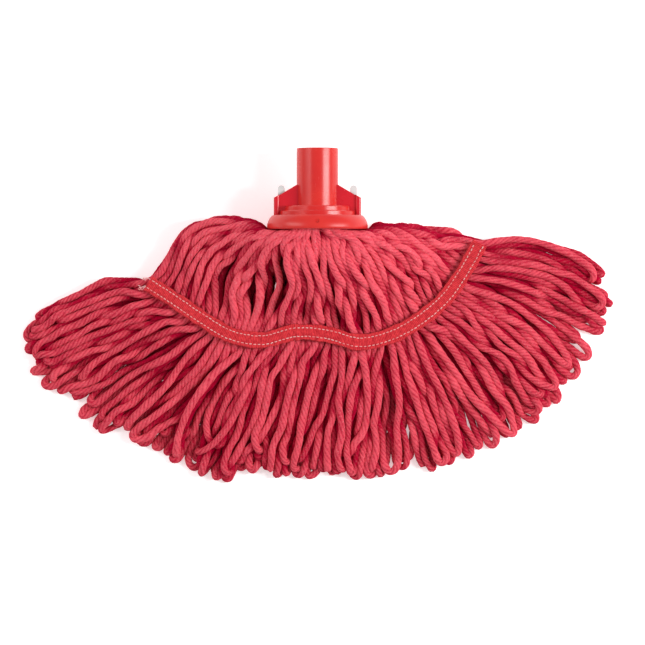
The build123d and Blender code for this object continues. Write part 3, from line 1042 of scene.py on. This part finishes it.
def tube_faces(rings, sides):
    """Faces of a closed tube: quads from ring to ring and a cap at each end."""
    quads = [(i * sides + j, i * sides + (j + 1) % sides, (i + 1) * sides + (j + 1) % sides,
              (i + 1) * sides + j) for i in range(rings - 1) for j in range(sides)]
    return quads + [tuple(range(sides))[::-1], tuple((rings - 1) * sides + j for j in range(sides))]


def tape_frame(share):
    """Middle points of the tape in plan, and the direction across it there."""
    middle = rail(TAPE_RAIL, share)
    along = np.gradient(middle, axis=0)
    along /= np.linalg.norm(along, axis=1)[:, None]
    return middle, np.stack([-along[:, 1], along[:, 0]], axis=1)


def tape_relief(run, across, phase):
    """Height of the tape's face: ribs, stitch dimples and the slow waves of the yarn beneath."""
    ribs = 0.05 * np.sin(2 * math.pi * run / RIB_PITCH)
    waves = 0.22 * np.sin(2 * math.pi * run / 8.3 + phase)
    waves = waves + 0.16 * np.sin(2 * math.pi * run / 5.1 + 2 * phase)
    dimple = 0.26 + 0.14 * np.cos(2 * math.pi * run / STITCH_PITCH)
    sink = np.zeros_like(run + across)
    for row in (-ROW_OFFSET, ROW_OFFSET):
        sink += np.exp(-(((across - row) / 0.75) ** 2)) * dimple
    crown = 0.18 * np.cos(math.pi * across / TAPE_WIDTH)
    return ribs + waves + crown - sink


def tape_strip(name, half, side):
    """A tape as a closed strip. Gives the piece, the height of its face and its length."""
    low, high = (np.array(corner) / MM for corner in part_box(f"{half}_tape"))
    face = high[2] - SUNK if side > 0 else low[2] + BACK_RAISED
    middle, over = tape_frame(np.linspace(0, 1, ALONG))
    run = run_along(middle)
    edge = 0.22 * np.sin(run / 4.1) + 0.14 * np.sin(run / 1.3 + 1) + 0.16 * np.sin(run / 2.3 + 2)
    across = np.linspace(-1, 1, ACROSS)
    across = np.sign(across) * np.abs(across) ** 0.9
    around = [(a, 1.0) for a in across] + [(a, -1.0) for a in across[::-1]]
    rows = []
    for a, face_side in around:
        offset = a * TAPE_WIDTH / 2 + np.sign(a) * edge * abs(a)
        rounding = math.sqrt(max(0.0, 1 - abs(a) ** 10))
        relief = tape_relief(run, offset, WAVE_PHASE[side])
        skin = side * face_side * rounding * TAPE_THICKNESS / 2
        z = face - side * TAPE_THICKNESS / 2 + skin + side * relief * RELIEF
        rows.append(np.column_stack([middle + over * offset[:, None], z]))
    verts = np.stack(rows, axis=1).reshape(-1, 3)
    mesh = smooth_mesh(name, verts, tube_faces(ALONG, len(around)))
    mesh.validate()
    if side < 0:
        mesh.flip_normals()
    offsets = np.array([a * TAPE_WIDTH / 2 for a, face_side in around])
    keep_values(mesh, tape_run=np.repeat(run, len(around)), tape_across=np.tile(offsets, ALONG))
    return placed(name, mesh), face, run[-1]


# %% [markdown]
# The tape is a tight ribbed weave in a brighter red than the yarn. Its finish has the warp threads
# as fine lines along it and the weft ribs across it, both from two values kept on the mesh: the run
# along the tape and the place across it.

# %% Tape finish
WARP_PITCH = 0.7


def tape_finish():
    """Ribbed weave with warp lines along it, worn and lumpy."""
    material, shader, at = finish("woven_tape", Sheen_Weight=0.06, Sheen_Roughness=0.4,
                                  Sheen_Tint=rgb(1.0, 0.6, 0.6), Specular_IOR_Level=0.3)
    weft = (at.attribute("tape_run") * (2 * math.pi / RIB_PITCH)).math("SINE") * 0.5 + 0.5
    warp = (at.attribute("tape_across") * (2 * math.pi / WARP_PITCH)).math("SINE") * 0.5 + 0.5
    weave = weft * 0.55 + warp * 0.45
    worn = at.noise(420.0, detail=3.0)
    lumps = at.noise(650.0, detail=3.0, roughness=0.7)
    mask = (weave * 0.35 + worn * 0.5 + lumps * 0.6).between(0.50, 0.95)
    colour = mask.blend(rgb(0.42, 0.0005, 0.012), rgb(0.86, 0.042, 0.052))
    return drive(material, shader, Base_Color=colour, Roughness=0.78 - worn * 0.2,
                 Normal=bumped(weave * 0.6 + lumps * 0.6, 0.0005))


tape_material = tape_finish()
tape_face = {}
for half, side in (("front", 1), ("back", -1)):
    tape, face, length = tape_strip(f"{half}_sewn_tape", half, side)
    tape.data.materials.append(tape_material)
    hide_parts(f"{half}_tape")
    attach(tape, f"{half}_fan")
    tape_face[half] = face
    print(tape.name, "is", round(length, 1), "mm by", TAPE_WIDTH, "mm")

# %% [markdown]
# ## The stitches
#
# The lockstitch shows as short pale dashes that dip into the tape at both ends. Each dash is a tiny
# rounded bar bent down at its ends, slightly uneven in length and slant as machine stitches through
# lumpy yarn are. At the left end the threads are knotted off and their tails stick out.


# %% Round thread along points
THREAD_RADIUS = 0.31
THREAD_ABOVE = 0.30
TAIL_RADIUS = 0.24
THREAD_UP = (0.02, 0.03, 1)
DASH_SHARE = 0.34


def thread_tube(points, radius, sides=7):
    """Vertices and faces of a round thread with closed, tapered ends."""
    line = np.array(points, float)
    side, up = sideways(line, THREAD_UP)
    angle = np.arange(sides) * 2 * math.pi / sides
    taper = np.ones(len(line))
    taper[0] = taper[-1] = 0.45
    cosine, sine = np.cos(angle)[None, :, None], np.sin(angle)[None, :, None]
    round_it = cosine * side[:, None, :] + sine * up[:, None, :]
    ring = line[:, None, :] + radius * taper[:, None, None] * round_it
    return ring.reshape(-1, 3), tube_faces(len(line), sides)


def stitch_line(middle, along, over, row, level, side, draws):
    """Five points of one stitch, ends sunk into the tape."""
    length = STITCH_PITCH * DASH_SHARE * draws.uniform(0.85, 1.08)
    slant = draws.normal(0, 0.10)
    base = middle + over * (row + draws.normal(0, 0.09))
    points = []
    for t, lift in ((-1, -0.55), (-0.7, 0.0), (0, 0.24), (0.7, 0.0), (1, -0.55)):
        flat = base + along * (t * length) + over * slant * t
        points.append((*flat, level + side * (lift - 0.16)))
    return points


# %% Rows of stitches
FIRST_STITCH = 1.8
ROW_SHIFT = 0.6
STITCH_END = 1.5
TAILS = {1: 4, -1: 2}
STITCH_SEED = {1: 7, -1: 8}


def stitch_rows(name, half, side):
    """Both rows of stitches of one tape with their tails, and how many there are."""
    draws = np.random.default_rng(STITCH_SEED[side])
    middle, over = tape_frame(np.linspace(0, 1, 4000))
    along = np.stack([over[:, 1], -over[:, 0]], axis=1)
    run = run_along(middle)
    level = tape_face[half]
    lines = []
    for row in (-ROW_OFFSET, ROW_OFFSET):
        first_at = FIRST_STITCH + (ROW_SHIFT if row > 0 else 0)
        for at_run in np.arange(first_at, run[-1] - STITCH_END, STITCH_PITCH):
            here = int(np.searchsorted(run, at_run))
            relief = tape_relief(np.array([at_run]), np.array([row]), WAVE_PHASE[side])[0]
            on_face = level + side * (relief * RELIEF + THREAD_ABOVE)
            stitch = stitch_line(middle[here], along[here], over[here], row, on_face, side, draws)
            lines.append((stitch, THREAD_RADIUS))
    for k in range(TAILS[side]):
        start = middle[0] + over[0] * ROW_OFFSET * (1 if k % 2 else -1)
        direction = np.array([-1.0, 0.42 * math.sin(2.1 * k)])
        curl = draws.normal(0, 1.0, (6, 2))
        tail = [(*(start + direction * (1.1 * t) + curl[t] * min(1, 0.35 * t)),
                 level + side * (0.5 + 0.5 * math.sin(1.3 * t + k))) for t in range(6)]
        lines.append((rail(tail, np.linspace(0, 1, 22)), TAIL_RADIUS))
    verts, faces, count = [], [], 0
    for line, radius in lines:
        tube, quads = thread_tube(line, radius)
        faces += [tuple(i + count for i in f) for f in quads]
        verts.append(tube)
        count += len(tube)
    return placed(name, smooth_mesh(name, np.vstack(verts), faces)), len(lines)


# %% Thread finish
def thread_finish():
    """Pale thread, soiled red in places by the yarn's dye."""
    material, shader, at = finish("pale_thread", Sheen_Weight=0.1, Specular_IOR_Level=0.35)
    strand = at.noise(1400.0, detail=2.0)
    soiled = at.noise(160.0, detail=2.0).between(0.35, 0.75)
    colour = soiled.blend(rgb(0.84, 0.55, 0.53), rgb(0.82, 0.24, 0.25))
    return drive(material, shader, Base_Color=colour, Roughness=0.75 - strand * 0.2,
                 Normal=bumped(strand, 0.0001))


thread_material = thread_finish()
for half, side in (("front", 1), ("back", -1)):
    rows, count = stitch_rows(f"{half}_lockstitch", half, side)
    rows.data.materials.append(thread_material)
    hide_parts(f"{half}_stitching")
    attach(rows, f"{half}_fan")
    print(rows.name, "has", count, "stitches and tails")

# %% [markdown]
# ## Moulded plastic
#
# Socket and ring are polypropylene: saturated orange-red, semi-gloss, with the faint orange peel of
# a moulding and small scuffs. Their CAD meshes are right as they are and keep their shape, so only
# the finish is added. A noise on the roughness and a very low bump stand for the moulding's skin.


# %% Red plastic
def red_plastic(name, light, deep, roughness):
    """Semi-gloss red moulding with flow marks, orange peel and small pale scuffs."""
    material, shader, at = finish(name, Specular_IOR_Level=0.32, IOR=1.49)
    peel = at.noise(900.0, detail=2.0)
    flow = at.noise(55.0, detail=4.0, roughness=0.6)
    scratched = at.stretched((1.0, 0.15, 1.0)).noise(700.0, detail=5.0, roughness=0.7)
    scuffs = scratched.between(0.62, 0.80)
    colour = flow.between(0.3, 0.7).blend(deep, light)
    worn = (scuffs * 0.10).blend(colour, rgb(0.95, 0.35, 0.30))
    rough = flow * 0.12 + scuffs * 0.18 + roughness
    return drive(material, shader, Base_Color=worn, Roughness=rough,
                 Normal=bumped(peel * 0.6 + flow * 0.4, 0.00012, 0.5))


def white_plastic():
    """Undyed white plastic, faintly cloudy."""
    material, shader, at = finish("natural_white_plastic", Specular_IOR_Level=0.5)
    cloud = at.noise(120.0, detail=3.0)
    colour = cloud.between(0.3, 0.7).blend(rgb(0.62, 0.62, 0.61), rgb(0.72, 0.72, 0.71))
    return drive(material, shader, Base_Color=colour, Roughness=cloud * 0.15 + 0.32,
                 Normal=bumped(cloud, 0.0001, 0.5))


finishes = {
    "socket_body": red_plastic("moulded_socket_red", light=rgb(0.67, 0.027, 0.021),
                               deep=rgb(0.62, 0.020, 0.020), roughness=0.20),
    "clamp_ring": red_plastic("moulded_ring_red", light=rgb(0.69, 0.030, 0.023),
                              deep=rgb(0.64, 0.023, 0.022), roughness=0.27),
    # The guards get a darker copy of the same red: painted shade, as if the tube shaded them from the
    # key light.
    "right_guard": red_plastic("moulded_guard_red_painted_shade", light=rgb(0.63, 0.011, 0.024),
                               deep=rgb(0.58, 0.008, 0.021), roughness=0.20),
}
finishes["left_guard"] = finishes["right_guard"]
white = white_plastic()
for node in ("yarn_bar", "snap_arm_right", "snap_arm_left"):
    finishes[node] = white
for node, material in finishes.items():
    shown = bpy.data.objects[node]
    for slot in shown.material_slots:
        slot.material = material
print("finished CAD pieces:", ", ".join(finishes))
